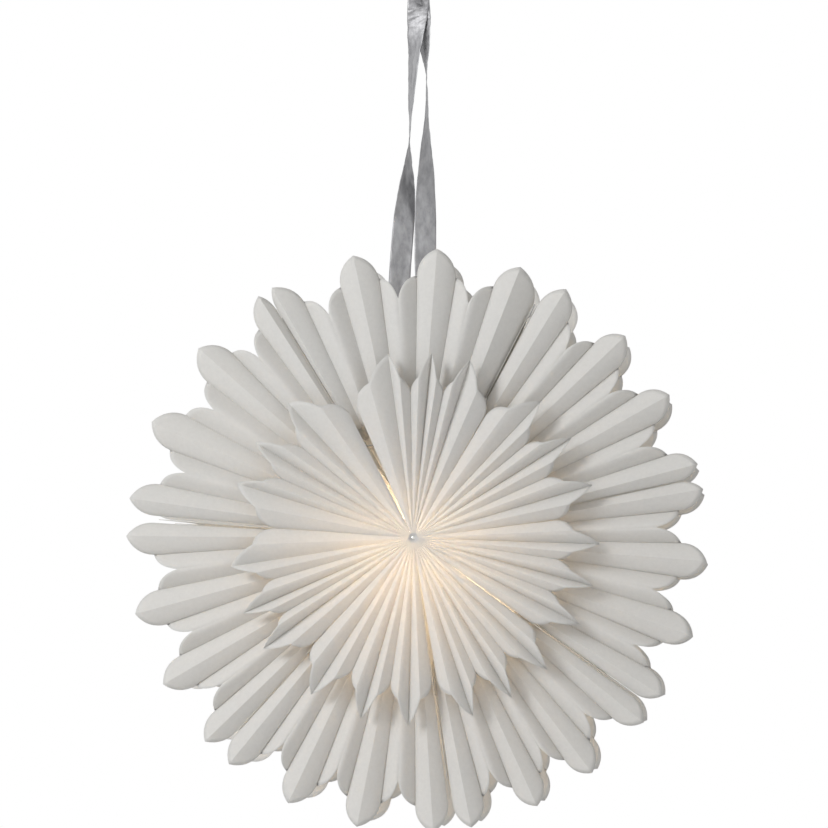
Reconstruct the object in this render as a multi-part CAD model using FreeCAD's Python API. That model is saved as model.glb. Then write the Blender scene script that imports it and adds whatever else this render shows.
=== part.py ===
import FreeCAD, Part
import math
import os

# A lit rosette star of pleated white paper that hangs on a flat ribbon. Millimetres, +Z up, the
# front of the star looks along -Y. The origin is the inner top of the ribbon's loop, where it
# lies over its hook. Everything is modelled about the star's own centre and moved down at the end.

os.makedirs("parts", exist_ok=True)
Vec = FreeCAD.Vector

# ---- where the star hangs ----
hang_drop = 626.0            # loop's inner top to the star's centre
hang_offset = -1.5           # the hook stands this far right of the star's centre

# ---- flats that make up a round, where a part is small or hidden ----
turned_sides = 20
small_sides = 12             # rivets, eyelets, contact, wire eyes
bar_sides = 12
wire_sides = 6

# ---- large rosettes (front and back) ----
half_depth = 60.0            # star's mid plane to the large rosette's crests
outer_tip_r = 302.0          # long pointed tips
outer_lobe_r = 275.0         # where a round lobe meets a pointed one
outer_notch_r = 250.0        # notch between two round lobes
outer_seam_r = 271.0         # end of the last facet at a seam
outer_inner_r = 128.0        # inner edge, behind the small rosette
outer_pleat_depth = 13.0     # crest to valley, measured at outer_lobe_r
outer_tip_bulge = 0.13       # bow of a cut edge, as a share of its chord
outer_lobe_bulge = 0.19
cut_steps = 3                # straight cuts that make up one bowed edge

# ---- small rosettes ----
rosette_gap = 8.0            # large rosette's crests to the small rosette's valleys
inner_tip_r = 192.5
inner_lobe_r = 166.0
inner_notch_r = 141.0
inner_seam_r = 148.0
inner_hub_r = 1.5
inner_pleat_depth = 12.0     # valley to crest, measured at inner_lobe_r
inner_tip_bulge = 0.10
inner_lobe_bulge = 0.15

# ---- paper ----
sheet_t = 0.4                # pleated sheet, measured along the star's axis
wall_ply_t = 0.4             # one paper wall; a glued seam has two plies
seam_slit = 0.2              # degrees from a seam's plane to the sheet beside it
closing_spread = 0.35        # degrees from the closing seam's plane to each of its two walls
paper_gap = 0.1              # glue line between a wall's edge and the sheet before it

# How far each fan section was pulled open by hand: angles clockwise from the top.
closing_seam = 27.3
seams = [-31.2, closing_seam, 78.1, 125.5, 172.4, 223.0, 274.5]
glued_seams = seams[:1] + seams[2:]
outer_tips = [
    [-29.6, -12.2, 4.6, 21.6],
    [31.6, 46.5, 61.0, 75.6],
    [80.6, 94.7, 109.5, 122.4],
    [128.7, 142.7, 155.2, 168.7],
    [176.2, 191.3, 205.6, 219.6],
    [226.1, 240.1, 255.1, 270.7],
    [278.2, 294.0, 311.4, 327.2],
]
inner_seams = [-25.3, 30.6, 83.0, 126.0, 171.5, 223.6, 274.4]
inner_tips = [
    [-7.8, 5.8, 17.9],
    [43.3, 58.0, 73.8],
    [92.1, 105.1, 117.4],
    [134.4, 148.2, 161.4],
    [181.5, 196.3, 213.3],
    [233.9, 246.4, 261.4],
    [287.4, 301.2, 317.2],
]

# ---- seam walls ----
wall_hub_gap = 4.0           # between the hub's washer and the walls' legs
wall_leg_w = 16.0            # leg behind the small rosette
wall_flap_r = 163.0          # corner that stands out beside the small rosette
wall_window_r = 92.0         # reach of the lamp's cut-out
wall_window_flat_r = 56.0    # end of the cut-out's straight stretch
wall_rim_dip = 34.0          # how far the rim edge is hollowed between front and back
wall_arc_steps = 8           # short cuts along each of its two hollowed edges

# ---- hub ----
hub_washer_r = 5.0
hub_washer_t = 1.0
rivet_r = 0.9
rivet_head_r = 2.3
rivet_head_t = 1.0
rivet_fit = 0.05

# ---- crossbar and eyelets ----
bar_z = 100.0                # crossbar above the star's centre
bar_r = 1.2
bar_overhang = 7.0           # past the last wall
bar_hook_drop = 9.0
bar_bend_r = 2.5
eyelet_bore_r = 2.3
eyelet_barrel_t = 0.35
eyelet_flange_r = 4.6
eyelet_flange_t = 0.3
eyelet_fit = 0.05
eyelet_drop = 0.4            # the bar lies in the upper side of the bore

# ---- closing tie: a twisted wire through both closing walls ----
tie_wire_r = 0.55
tie_inset = 24.0             # its holes inside the walls' rim corners
tie_y = -38.0
tie_rise = 10.0              # up past the walls' rim before the ends are twisted
tie_reach = 27.0             # free ends past the holes
tie_spread = 3.0
tie_hole_r = 0.9

# ---- ribbon ----
ribbon_w = 23.0
ribbon_t = 0.3
hem_pitch = 47.5             # between the two ribbon ends on the crossbar
hem_tab_h = 15.0
hem_fit = 0.08
staple_w = 10.0
staple_wire = 0.5
staple_leg = 3.0
loop_r = 6.0
loop_h = 27.0
knot_h = 14.0
knot_half_w = 11.0
knot_half_d = 6.0
knot_folds = 12
knot_band_h = 5.6
knot_band_rise = 0.6         # the band stands proud of the knot
knot_band_lean = 12.0
# Each strand from its hem up to the knot: across, forward, height above the star's centre, and
# the turn of its flat side in degrees.
left_strand = [
    (-26.0, 0.0, 190.0, 0.0),
    (-21.5, 0.0, 285.0, 0.0),
    (-17.5, 0.0, 335.0, 14.0),
    (-13.5, 0.0, 378.0, 52.0),
    (-11.5, 0.0, 416.0, 90.0),
    (-9.5, 0.0, 465.0, 110.0),
    (-6.3, 0.0, 518.0, 127.0),
    (-3.8, 0.0, 545.0, 150.0),
    (-2.3, -0.5, 562.0, 170.0),
    (-1.5, -0.8, 575.0, 180.0),
]
right_strand = [
    (13.0, 0.0, 190.0, 0.0),
    (5.8, 0.0, 280.0, 0.0),
    (5.8, 0.0, 325.0, 8.0),
    (6.3, 0.0, 385.0, 45.0),
    (7.4, 0.0, 448.0, 86.0),
    (7.4, 0.0, 498.0, 96.0),
    (5.9, 0.0, 518.0, 116.0),
    (3.0, 0.0, 545.0, 140.0),
    (0.5, 0.5, 562.0, 166.0),
    (-1.5, 0.8, 575.0, 180.0),
]
strand_apart = 0.8           # each strand from the middle plane where it enters the knot
strand_knot_gap = 0.3
strand_turn_step = 16.0      # degrees of turn in one short run

# ---- lamp holder and bulb, on their own upright axis ----
lamp_x = -4.25
stirrup_wire_r = 1.0
stirrup_half_w = 10.0
stirrup_fit = 0.08
collar_z = 72.0              # stirrup's ring in the cap's groove
cap_top_z = 76.0
cap_groove_h = 2.2
cap_shoulder_z = 68.0
cap_base_z = 58.0
cap_top_r = 11.0
cap_r = 13.5
cap_wall = 1.6
cap_plate = 1.6
gland_z = 65.5               # cord entry at the holder's side
gland_r = 6.5
gland_l = 7.0
gland_shank_r = 4.6
gland_bore_r = 3.5
gland_fit = 0.05
boss_r = 5.4
boss_start = 11.3            # from the holder's axis, clear of the stirrup's ring
boss_end = 18.0
gland_start = 9.5
shell_base_z = 28.0
shell_r = 13.5
shell_wall = 1.6
shell_groove_depth = 0.5
ring_z = 34.0
ring_h = 8.0
ring_r = 19.0
ring_fit = 0.05
ring_grips = 8
ring_wall = 1.6
ring_flange_t = 1.8
insert_top_z = 60.0
insert_base_z = 31.0
insert_fit = 0.1
socket_r = 7.2
socket_floor_t = 3.0
screw_r = 6.85
screw_chamfer = 1.4
screw_base_z = 30.0
tip_r = 3.0
tip_t = 1.6
insulator_t = 2.4
contact_head_r = 3.2
contact_head_t = 0.8
contact_stem_r = 1.4
contact_stem_h = 5.0
contact_fit = 0.08
contact_touch = 0.05
side_contact_w = 4.0
side_contact_t = 0.5
side_contact_h = 14.0
globe_r = 22.5
globe_z = 0.0                # globe's middle, at the star's centre
globe_rim_z = 9.0            # where the globe meets the bulb's neck
globe_bands = 8
globe_wall = 1.2
neck_top_r = 8.2
neck_bands = 4

wall_t = 2 * wall_ply_t
wall_hub_r = hub_washer_r + wall_hub_gap
tie_r = outer_seam_r - tie_inset
small_valley_y = -(half_depth + rosette_gap)
large_valley_slope = outer_pleat_depth / outer_lobe_r
small_crest_slope = -inner_pleat_depth / inner_lobe_r


def move(shape, x=0.0, y=0.0, z=0.0):
    shape.translate(Vec(x, y, z))
    return shape


def turned(shape, angle):
    """Turn about the star's axis, clockwise as seen from the front."""
    shape.rotate(Vec(0, 0, 0), Vec(0, 1, 0), angle)
    return shape


def along_x(shape):
    """Lay a shape that was made about the upright axis along X."""
    shape.rotate(Vec(0, 0, 0), Vec(0, 1, 0), 90)
    return shape


def along_y(shape):
    shape.rotate(Vec(0, 0, 0), Vec(1, 0, 0), -90)
    return shape


def revolved(profile, x=0.0):
    """Round solid about the upright axis through x, from (radius, z) points."""
    points = [Vec(r, 0, z) for r, z in profile]
    face = Part.Face(Part.makePolygon(points + points[:1]))
    return move(face.revolve(Vec(0, 0, 0), Vec(0, 0, 1), 360), x)


def sewn(faces):
    shell = Part.Shell(faces)
    shell.sewShape()
    return Part.Solid(shell)


def faceted(profile, x=0.0, sides=turned_sides):
    """The same in flat sides, which keeps small parts light."""
    runs = list(zip(profile, profile[1:] + profile[:1]))
    if sum(r0 * z1 - r1 * z0 for (r0, z0), (r1, z1) in runs) < 0:
        runs = [(b, a) for a, b in runs]
    spokes = [Vec(1, 0, 0)]
    for i in range(1, sides + 1):
        angle = 2 * math.pi * (i % sides) / sides
        spokes.append(Vec(math.cos(angle), math.sin(angle), 0))
    faces = []
    for (r0, z0), (r1, z1) in runs:
        low = Vec(0, 0, z0)
        high = Vec(0, 0, z1)
        for u, v in zip(spokes, spokes[1:]):
            corners = [low + u * r0, high + v * r1]
            if r0 > 0:
                corners.insert(1, low + v * r0)
            if r1 > 0:
                corners.append(high + u * r1)
            if len(corners) > 2:
                faces.append(Part.Face(Part.makePolygon(corners + corners[:1])))
    return move(sewn(faces), x)


def arc_points(start, middle, end, steps):
    return Part.Arc(start, middle, end).toShape().discretize(Number=steps + 1)


def bent_wire(points, wire_r, bend_r, steps, sides=0):
    """Wire along straight runs whose corners are rounded in a few short runs. It is round, or
    has the given number of sides."""
    path = [points[0]]
    for before, corner, after in zip(points, points[1:], points[2:]):
        u = (before - corner).normalize()
        v = (after - corner).normalize()
        half = u.getAngle(v) / 2
        back = bend_r / math.tan(half)
        middle = corner + (u + v).normalize() * (bend_r / math.sin(half) - bend_r)
        path += arc_points(corner + u * back, middle, corner + v * back, steps)
    path.append(points[-1])
    first = (points[1] - points[0]).normalize()
    section = Part.makeCircle(wire_r, points[0], first)
    if sides:
        section = Part.makePolygon(section.discretize(Number=sides + 1))
    return Part.Wire(Part.makePolygon(path)).makePipeShell([Part.Wire(section)], True, True, 1)


def stacked(cuts):
    """Solid through level cuts from the bottom up, each a list of corners, clockwise from above."""
    faces = [Part.Face(Part.makePolygon(cut + cut[:1])) for cut in (cuts[0], cuts[-1])]
    for low, high in zip(cuts, cuts[1:]):
        for i in range(len(low)):
            j = (i + 1) % len(low)
            for corners in ((low[i], low[j], high[j]), (low[i], high[j], high[i])):
                faces.append(Part.Face(Part.makePolygon(corners + corners[:1])))
    return sewn(faces)


def wire_ring(ring_r, wire_r, ring_sides):
    """Closed ring of wire about the upright axis."""
    turns = [2 * math.pi * i / wire_sides for i in range(wire_sides)]
    profile = [(ring_r + wire_r * math.cos(a), wire_r * math.sin(a)) for a in turns]
    return faceted(profile, 0, ring_sides)


# ---- pleated paper ----


def crease_point(crease, apex_y, r):
    angle, end_r, slope = crease
    a = math.radians(angle)
    return Vec(r * math.sin(a), apex_y + slope * r, r * math.cos(a))


def pleated_section(creases, bulges, apex_y, inner_r):
    """One fan section: flat facets between creases that all run to one apex on the axis. Each
    crease is (angle, end radius, slope), and each facet's cut edge is an arc."""
    through = Vec(0, sheet_t, 0)
    faces = []

    def wall_on(edge):
        faces.append(edge.extrude(through))

    for i, (left, right) in enumerate(zip(creases, creases[1:])):
        a0 = crease_point(left, apex_y, inner_r)
        a1 = crease_point(left, apex_y, left[1])
        b0 = crease_point(right, apex_y, inner_r)
        b1 = crease_point(right, apex_y, right[1])
        chord = b1 - a1
        normal = (a1 - a0).cross(b0 - a0)
        outward = normal.cross(chord).normalize()
        if outward.dot(a1 + b1) < 0:
            outward = outward * -1
        middle = (a1 + b1) * 0.5 + outward * (bulges[i] * chord.Length)
        cut = arc_points(a1, middle, b1, cut_steps)
        front = Part.Face(Part.makePolygon([a0] + cut + [b0, a0]))
        faces.append(front)
        faces.append(front.translated(through))
        for a, b in zip(cut, cut[1:]):
            wall_on(Part.makeLine(a, b))
        wall_on(Part.makeLine(b0, a0))
        if i == 0:
            wall_on(Part.makeLine(a0, a1))
        if i == len(creases) - 2:
            wall_on(Part.makeLine(b1, b0))
    return sewn(faces)


def between(a, b, share):
    return a + (b - a) * share


def seam_angles(starts, k, spread=0.0):
    """A section's first and last crease. The seam between the first two sections is spread."""
    end = starts[k + 1] if k + 1 < len(starts) else starts[0] + 360
    slit_after = seam_slit + (spread if k == 1 else 0)
    slit_before = seam_slit + (spread if k == 0 else 0)
    return starts[k] + slit_after, end - slit_before


def large_section(k):
    """Long tips on crests; between two tips a valley, a notched crest and a valley."""
    start, end = seam_angles(seams, k, closing_spread)
    tips = outer_tips[k]
    creases = [(start, outer_seam_r, large_valley_slope)]
    bulges = [outer_tip_bulge]
    for tip, following in zip(tips, tips[1:]):
        creases.append((tip, outer_tip_r, 0.0))
        creases.append((between(tip, following, 0.25), outer_lobe_r, large_valley_slope))
        creases.append((between(tip, following, 0.5), outer_notch_r, 0.0))
        creases.append((between(tip, following, 0.75), outer_lobe_r, large_valley_slope))
        bulges += [outer_tip_bulge, outer_lobe_bulge, outer_lobe_bulge, outer_tip_bulge]
    creases.append((tips[-1], outer_tip_r, 0.0))
    creases.append((end, outer_seam_r, large_valley_slope))
    bulges.append(outer_tip_bulge)
    return pleated_section(creases, bulges, -half_depth, outer_inner_r)


def small_section(k):
    """Long tips on valleys; between two tips a crest, a notched valley and a crest."""
    start, end = seam_angles(inner_seams, k)
    tips = inner_tips[k]
    creases = [(start, inner_seam_r, 0.0)]
    creases.append((between(start, tips[0], 0.5), inner_lobe_r, small_crest_slope))
    bulges = [inner_lobe_bulge, inner_tip_bulge]
    for tip, following in zip(tips, tips[1:]):
        creases.append((tip, inner_tip_r, 0.0))
        creases.append((between(tip, following, 0.25), inner_lobe_r, small_crest_slope))
        creases.append((between(tip, following, 0.5), inner_notch_r, 0.0))
        creases.append((between(tip, following, 0.75), inner_lobe_r, small_crest_slope))
        bulges += [inner_tip_bulge, inner_lobe_bulge, inner_lobe_bulge, inner_tip_bulge]
    creases.append((tips[-1], inner_tip_r, 0.0))
    creases.append((between(tips[-1], end, 0.5), inner_lobe_r, small_crest_slope))
    creases.append((end, inner_seam_r, 0.0))
    bulges += [inner_tip_bulge, inner_lobe_bulge]
    return pleated_section(creases, bulges, small_valley_y, inner_hub_r)


def mirrored(shape):
    return shape.mirror(Vec(0, 0, 0), Vec(0, 1, 0))


# ---- seam walls ----


def bar_crossing(angle):
    """Distance from the axis at which the crossbar meets the wall at this angle."""
    return bar_z / math.cos(math.radians(angle))


def closing_hub_r():
    """Where the two closing walls stand clear of each other."""
    return (wall_ply_t + 2 * paper_gap) / (2 * math.radians(closing_spread))


def wall(angle, thickness, hub_r, bar_hole=False, tie_hole=False):
    """Paper wall in a plane through the star's axis, with a window for the lamp."""
    front_y = small_valley_y + sheet_t + paper_gap
    leg_y = front_y + wall_leg_w
    large_y = -half_depth + sheet_t + paper_gap
    step_y = large_y + large_valley_slope * wall_flap_r
    rim_y = large_y + large_valley_slope * outer_seam_r
    corners = [
        Vec(0, leg_y, hub_r),
        Vec(0, front_y, hub_r),
        Vec(0, front_y, wall_flap_r),
        Vec(0, step_y, wall_flap_r),
        Vec(0, rim_y, outer_seam_r),
    ]
    back = [Vec(0, -p.y, p.z) for p in reversed(corners)]
    window_start = Vec(0, -leg_y, wall_window_flat_r)
    window_end = Vec(0, leg_y, wall_window_flat_r)
    rim_dip = Vec(0, 0, outer_seam_r - wall_rim_dip)
    rim = arc_points(corners[-1], rim_dip, back[0], wall_arc_steps)
    window_top = Vec(0, 0, wall_window_r)
    window = arc_points(window_start, window_top, window_end, wall_arc_steps)
    outline = corners[:-1] + rim + back[1:] + window + corners[:1]
    solid = Part.Face(Part.makePolygon(outline)).extrude(Vec(thickness, 0, 0))
    move(solid, -thickness / 2)
    turned(solid, angle)
    if bar_hole:
        drill = Part.makeCylinder(
            eyelet_bore_r + eyelet_barrel_t + eyelet_fit,
            4 * wall_t,
            Vec(-2 * wall_t, 0, 0),
            Vec(1, 0, 0),
        )
        solid = solid.cut(eyelet_placed(drill, angle))
    if tie_hole:
        drill = Part.makeCylinder(
            tie_hole_r, 4 * wall_t, Vec(-2 * wall_t, tie_y, tie_r), Vec(1, 0, 0)
        )
        solid = solid.cut(turned(drill, angle))
    return solid


def eyelet_placed(shape, angle):
    return turned(move(shape, 0, 0, bar_crossing(angle) - eyelet_drop), angle)


def eyelet(angle, thickness):
    half = thickness / 2
    grip = half + eyelet_flange_t
    barrel_r = eyelet_bore_r + eyelet_barrel_t
    profile = [
        (eyelet_bore_r, -grip),
        (eyelet_flange_r, -grip),
        (eyelet_flange_r, -half),
        (barrel_r, -half),
        (barrel_r, half),
        (eyelet_flange_r, half),
        (eyelet_flange_r, grip),
        (eyelet_bore_r, grip),
    ]
    return eyelet_placed(along_x(faceted(profile, 0, small_sides)), angle)


# ---- hub ----


def hub_washer():
    y = small_valley_y + sheet_t
    hole_r = rivet_r + rivet_fit
    behind = y + hub_washer_t
    profile = [(hole_r, y), (hub_washer_r, y), (hub_washer_r, behind), (hole_r, behind)]
    return along_y(faceted(profile))


def hub_rivet():
    """Domed head before the paper points, shank through the washer, set over behind it."""
    seat = small_valley_y + small_crest_slope * rivet_head_r - paper_gap
    behind = small_valley_y + sheet_t + hub_washer_t
    top = Vec(0, seat - rivet_head_t, 0)
    shoulder = Vec(rivet_head_r * 0.66, seat - rivet_head_t * 0.72, 0)
    dome = arc_points(top, shoulder, Vec(rivet_head_r, seat, 0), 3)
    profile = [(abs(p.x), p.y) for p in dome]
    profile[0] = (0, top.y)
    profile += [
        (rivet_r, seat),
        (rivet_r, behind + rivet_fit),
        (2 * rivet_r, behind + rivet_fit),
        (2 * rivet_r, behind + rivet_r),
        (0, behind + rivet_r),
    ]
    return along_y(faceted(profile, 0, small_sides))


def closing_walls():
    return closing_seam - closing_spread, closing_seam + closing_spread


# ---- crossbar, tie ----


def crossbar():
    """Straight wire with a hook down at each end."""
    left = -bar_crossing_x(seams[0]) - bar_overhang
    right = bar_crossing_x(closing_walls()[1]) + bar_overhang
    points = [
        Vec(left, 0, bar_z - bar_hook_drop),
        Vec(left, 0, bar_z),
        Vec(right, 0, bar_z),
        Vec(right, 0, bar_z - bar_hook_drop),
    ]
    return bent_wire(points, bar_r, bar_bend_r, 3, bar_sides)


def bar_crossing_x(angle):
    return abs(bar_z * math.tan(math.radians(angle)))


def closing_tie():
    """Wire through both closing walls, its ends twisted once and left standing outwards."""
    half = tie_r * math.radians(closing_spread) + wall_ply_t + 2 * tie_wire_r
    ends = []
    for side in (-1, 1):
        points = [
            Vec(0, tie_y, tie_r),
            Vec(side * half, tie_y, tie_r),
            Vec(side * half, tie_y, tie_r + tie_rise),
            Vec(side * tie_wire_r, tie_y, tie_r + tie_rise + half),
            Vec(side * tie_spread / 2, tie_y - tie_spread / 2, tie_r + tie_reach),
        ]
        ends.append(bent_wire(points, tie_wire_r, 2 * tie_wire_r, 2, wire_sides))
    return turned(ends[0].fuse(ends[1]), closing_seam)


# ---- ribbon ----


def hem_x(side):
    return lamp_x + side * hem_pitch / 2


def staple(x):
    """Flat wire: a back across the front, two legs through the tab, their ends bent inwards."""
    t = hem_tab_y()
    half = staple_w / 2
    outline = [
        (-half, -t - staple_wire),
        (half, -t - staple_wire),
        (half, t + staple_wire),
        (half - staple_leg, t + staple_wire),
        (half - staple_leg, t),
        (half - staple_wire, t),
        (half - staple_wire, -t),
        (staple_wire - half, -t),
        (staple_wire - half, t),
        (staple_leg - half, t),
        (staple_leg - half, t + staple_wire),
        (-half, t + staple_wire),
    ]
    points = [Vec(x + a, b, bar_z + hem_tab_h * 0.6) for a, b in outline]
    return Part.Face(Part.makePolygon(points + points[:1])).extrude(Vec(0, 0, staple_wire))


def hem_tab_y():
    return ribbon_t


def hem(x):
    """Ribbon end folded round the crossbar and back up against itself."""
    inner_r = bar_r + hem_fit
    ring_outer = inner_r + ribbon_t
    start = Vec(x - ribbon_w / 2, 0, bar_z)
    ring = hem_round(ring_outer, x)
    tab = Part.makeBox(
        ribbon_w, 2 * hem_tab_y(), hem_tab_h, Vec(start.x, -hem_tab_y(), bar_z)
    )
    return ring.fuse(tab).cut([hem_round(inner_r, x), staple(x)]).removeSplitter()


def hem_round(r, x):
    half = ribbon_w / 2
    bar = along_x(faceted([(0, -half), (r, -half), (r, half), (0, half)], 0, bar_sides))
    return move(bar, x, 0, bar_z)


def strand(stations, side):
    """Flat strip in short runs between level cuts, each turned about its own middle."""
    foot = (hem_x(side), 0.0, bar_z + hem_tab_h, 0.0)
    top_z = hang_drop - loop_h - knot_h - strand_knot_gap
    top = (hang_offset, side * strand_apart, top_z, 180.0)
    places = [foot] + stations + [top]
    cuts = []
    for a, b in zip(places, places[1:]):
        steps = 1 + round(abs(b[3] - a[3]) / strand_turn_step)
        for i in range(steps):
            cuts.append(strand_cut([p + (q - p) * i / steps for p, q in zip(a, b)]))
    cuts.append(strand_cut(top))
    return stacked(cuts)


def strand_cut(place):
    x, y, z, turn = place
    w = ribbon_w / 2
    t = ribbon_t / 2
    c = math.cos(math.radians(turn))
    s = math.sin(math.radians(turn))
    corners = ((-w, -t), (-w, t), (w, t), (w, -t))
    return [Vec(x + a * c - b * s, y + a * s + b * c, z) for a, b in corners]


def teardrop(radius, centre_z, point_z):
    """Face in the YZ plane: a round top with two tangent sides that run down to a point."""
    reach = centre_z - point_z
    lean = math.asin(radius / reach)
    touch_y = radius * math.cos(lean)
    touch_z = centre_z - radius * math.sin(lean)
    left = Vec(0, -touch_y, touch_z)
    right = Vec(0, touch_y, touch_z)
    point = Vec(0, 0, point_z)
    top = Vec(0, 0, centre_z + radius)
    edges = [
        Part.LineSegment(point, left).toShape(),
        Part.Arc(left, top, right).toShape(),
        Part.LineSegment(right, point).toShape(),
    ]
    return Part.Face(Part.Wire(edges))


def ribbon_loop():
    """Ribbon laid double above the knot; its inner top is the hanging point."""
    centre_z = hang_drop - loop_r
    point_z = hang_drop - loop_h
    outer = teardrop(loop_r + ribbon_t, centre_z, point_z - ribbon_t)
    inner = teardrop(loop_r, centre_z, point_z + 2 * ribbon_t)
    band = outer.cut(inner).extrude(Vec(ribbon_w, 0, 0))
    band = move(band, hang_offset - ribbon_w / 2)
    return band.common(
        Part.makeBox(4 * ribbon_w, 4 * loop_r, loop_h + ribbon_t, Vec(-2 * ribbon_w, -2 * loop_r, point_z))
    )


def knot_oval(half_w, half_d, z):
    """Corners of a flat oval, clockwise from above."""
    turns = [2 * math.pi * i / knot_folds for i in range(knot_folds)]
    return [Vec(half_w * math.cos(a), -half_d * math.sin(a), z) for a in turns]


def ribbon_knot():
    """Overhand knot as a soft lump with one band of ribbon laid over it."""
    base = hang_drop - loop_h - knot_h
    cuts = []
    for share, size in ((0, 0.6), (0.25, 1), (0.75, 1), (1, 0.6)):
        cuts.append(knot_oval(knot_half_w * size, knot_half_d * size, (share - 0.5) * knot_h))
    band_w = knot_half_w + knot_band_rise
    band_d = knot_half_d + knot_band_rise
    edge = knot_band_h / 2
    band = stacked([knot_oval(band_w, band_d, z) for z in (-edge, edge)])
    band.rotate(Vec(0, 0, 0), Vec(0, 1, 0), knot_band_lean)
    return move(stacked(cuts).fuse(band), hang_offset, 0, base + knot_h / 2)


# ---- lamp ----


def stirrup():
    """Two wire legs from eyes round the crossbar down to a ring in the cap's groove."""
    eye_r = bar_r + stirrup_fit + stirrup_wire_r
    leg_l = bar_z - eye_r - collar_z
    solid = move(wire_ring(stirrup_half_w, stirrup_wire_r, turned_sides), 0, 0, collar_z)
    for side in (-1, 1):
        x = side * stirrup_half_w
        eye = move(along_x(wire_ring(eye_r, stirrup_wire_r, small_sides)), x, 0, bar_z)
        circle = Part.makeCircle(stirrup_wire_r)
        leg = Part.Face(Part.makePolygon(circle.discretize(Number=wire_sides + 1)))
        leg.rotate(Vec(0, 0, 0), Vec(0, 0, 1), 180 / wire_sides)
        leg = move(leg.extrude(Vec(0, 0, leg_l)), x, 0, collar_z)
        solid = solid.fuse([eye, leg])
    return move(solid, lamp_x)


def groove_r():
    return stirrup_half_w - stirrup_wire_r - stirrup_fit


def cord_gland():
    """Bushing in the cap's boss, its bore lying along X."""
    head_end = boss_end + gland_l
    profile = [
        (gland_bore_r, gland_start),
        (gland_shank_r, gland_start),
        (gland_shank_r, boss_end),
        (gland_r, boss_end),
        (gland_r, head_end),
        (gland_bore_r, head_end),
    ]
    return move(along_x(revolved(profile)), lamp_x, 0, gland_z)


def holder_cap():
    """Cap with a groove for the stirrup's ring, two notches above it for its legs, and a boss
    at its side for the cord's gland."""
    groove_top = collar_z + cap_groove_h / 2
    groove_base = collar_z - cap_groove_h / 2
    inner_r = cap_r - cap_wall
    neck_r = groove_r() - cap_wall
    profile = [
        (0, cap_top_z),
        (cap_top_r, cap_top_z),
        (cap_top_r, groove_top),
        (groove_r(), groove_top),
        (groove_r(), groove_base),
        (cap_top_r, groove_base),
        (cap_top_r, cap_shoulder_z),
        (cap_r, cap_shoulder_z - (cap_r - cap_top_r)),
        (cap_r, cap_base_z),
        (inner_r, cap_base_z),
        (inner_r, cap_shoulder_z - cap_wall - (cap_r - cap_top_r)),
        (neck_r, cap_shoulder_z - cap_wall),
        (neck_r, cap_top_z - cap_plate),
        (0, cap_top_z - cap_plate),
    ]
    boss = faceted([(0, boss_start), (boss_r, boss_start), (boss_r, boss_end), (0, boss_end)])
    move(along_x(boss), 0, 0, gland_z)
    bore = Part.makeCylinder(gland_shank_r + gland_fit, boss_end, Vec(0, 0, gland_z), Vec(1, 0, 0))
    notches = [
        Part.makeBox(
            2 * cap_top_r,
            2 * (stirrup_wire_r + stirrup_fit),
            cap_top_z - groove_base,
            Vec(side * (groove_r() + cap_top_r) - cap_top_r, -stirrup_wire_r - stirrup_fit, groove_base),
        )
        for side in (-1, 1)
    ]
    return move(faceted(profile).fuse(boss).cut(notches + [bore]), lamp_x)


def holder_shell():
    """Tube below the cap, its lower half ribbed for the ring."""
    inner_r = shell_r - shell_wall
    lip = inner_r - insert_fit
    profile = [(inner_r, cap_base_z), (shell_r, cap_base_z)]
    ribs = 2
    rib_h = ring_h / ribs
    root = shell_r - shell_groove_depth
    top = ring_z + ring_h
    for i in range(ribs):
        z = top - i * rib_h
        profile += [(shell_r, z), (root, z - rib_h * 0.3), (root, z - rib_h * 0.7)]
    profile += [
        (shell_r, ring_z),
        (shell_r, shell_base_z),
        (lip - shell_wall, shell_base_z),
        (lip - shell_wall, insert_base_z - 2 * insert_fit),
        (inner_r, insert_base_z - 2 * insert_fit),
    ]
    return faceted(profile, lamp_x)


def shade_ring():
    """Threaded ring with a flange and grip ribs below it."""
    bore = shell_r + ring_fit
    wall_r = bore + ring_wall
    flange_z = ring_z + ring_h - ring_flange_t
    profile = [
        (bore, ring_z),
        (wall_r, ring_z),
        (wall_r, flange_z),
        (ring_r, flange_z),
        (ring_r, ring_z + ring_h),
        (bore, ring_z + ring_h),
    ]
    grips = []
    for i in range(ring_grips):
        grip = Part.makeBox(ring_wall, ring_wall, flange_z - ring_z)
        move(grip, bore + ring_wall / 2, -ring_wall / 2, ring_z)
        grip.rotate(Vec(0, 0, 0), Vec(0, 0, 1), i * 360 / ring_grips)
        grips.append(grip)
    return move(faceted(profile).fuse(grips).removeSplitter(), lamp_x)


def socket_top_z():
    """Underside of the socket's floor, above the bulb's tip."""
    return insert_top_z - socket_floor_t


def bulb_tip_z():
    return socket_top_z() - contact_head_t - contact_touch - contact_stem_free()


def contact_stem_free():
    """Travel left below the floor, so that the sprung contact can be pressed up."""
    return 0.4


def socket_insert():
    outer = shell_r - shell_wall - insert_fit
    profile = [
        (contact_stem_r + contact_fit, insert_top_z),
        (outer, insert_top_z),
        (outer, insert_base_z),
        (socket_r, insert_base_z),
        (socket_r, socket_top_z()),
        (contact_stem_r + contact_fit, socket_top_z()),
    ]
    return faceted(profile, lamp_x).cut(side_contact_block(insert_fit / 2))


def side_contact_block(grow):
    return Part.makeBox(
        side_contact_t + grow,
        side_contact_w + 2 * grow,
        side_contact_h + 2 * grow,
        Vec(lamp_x + socket_r - grow / 2, -side_contact_w / 2 - grow, insert_base_z + 6 - grow),
    )


def side_contact():
    return side_contact_block(0).common(
        revolved(
            [
                (socket_r - 0.1, insert_base_z),
                (socket_r + side_contact_t, insert_base_z),
                (socket_r + side_contact_t, insert_top_z),
                (socket_r - 0.1, insert_top_z),
            ],
            lamp_x,
        )
    )


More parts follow.
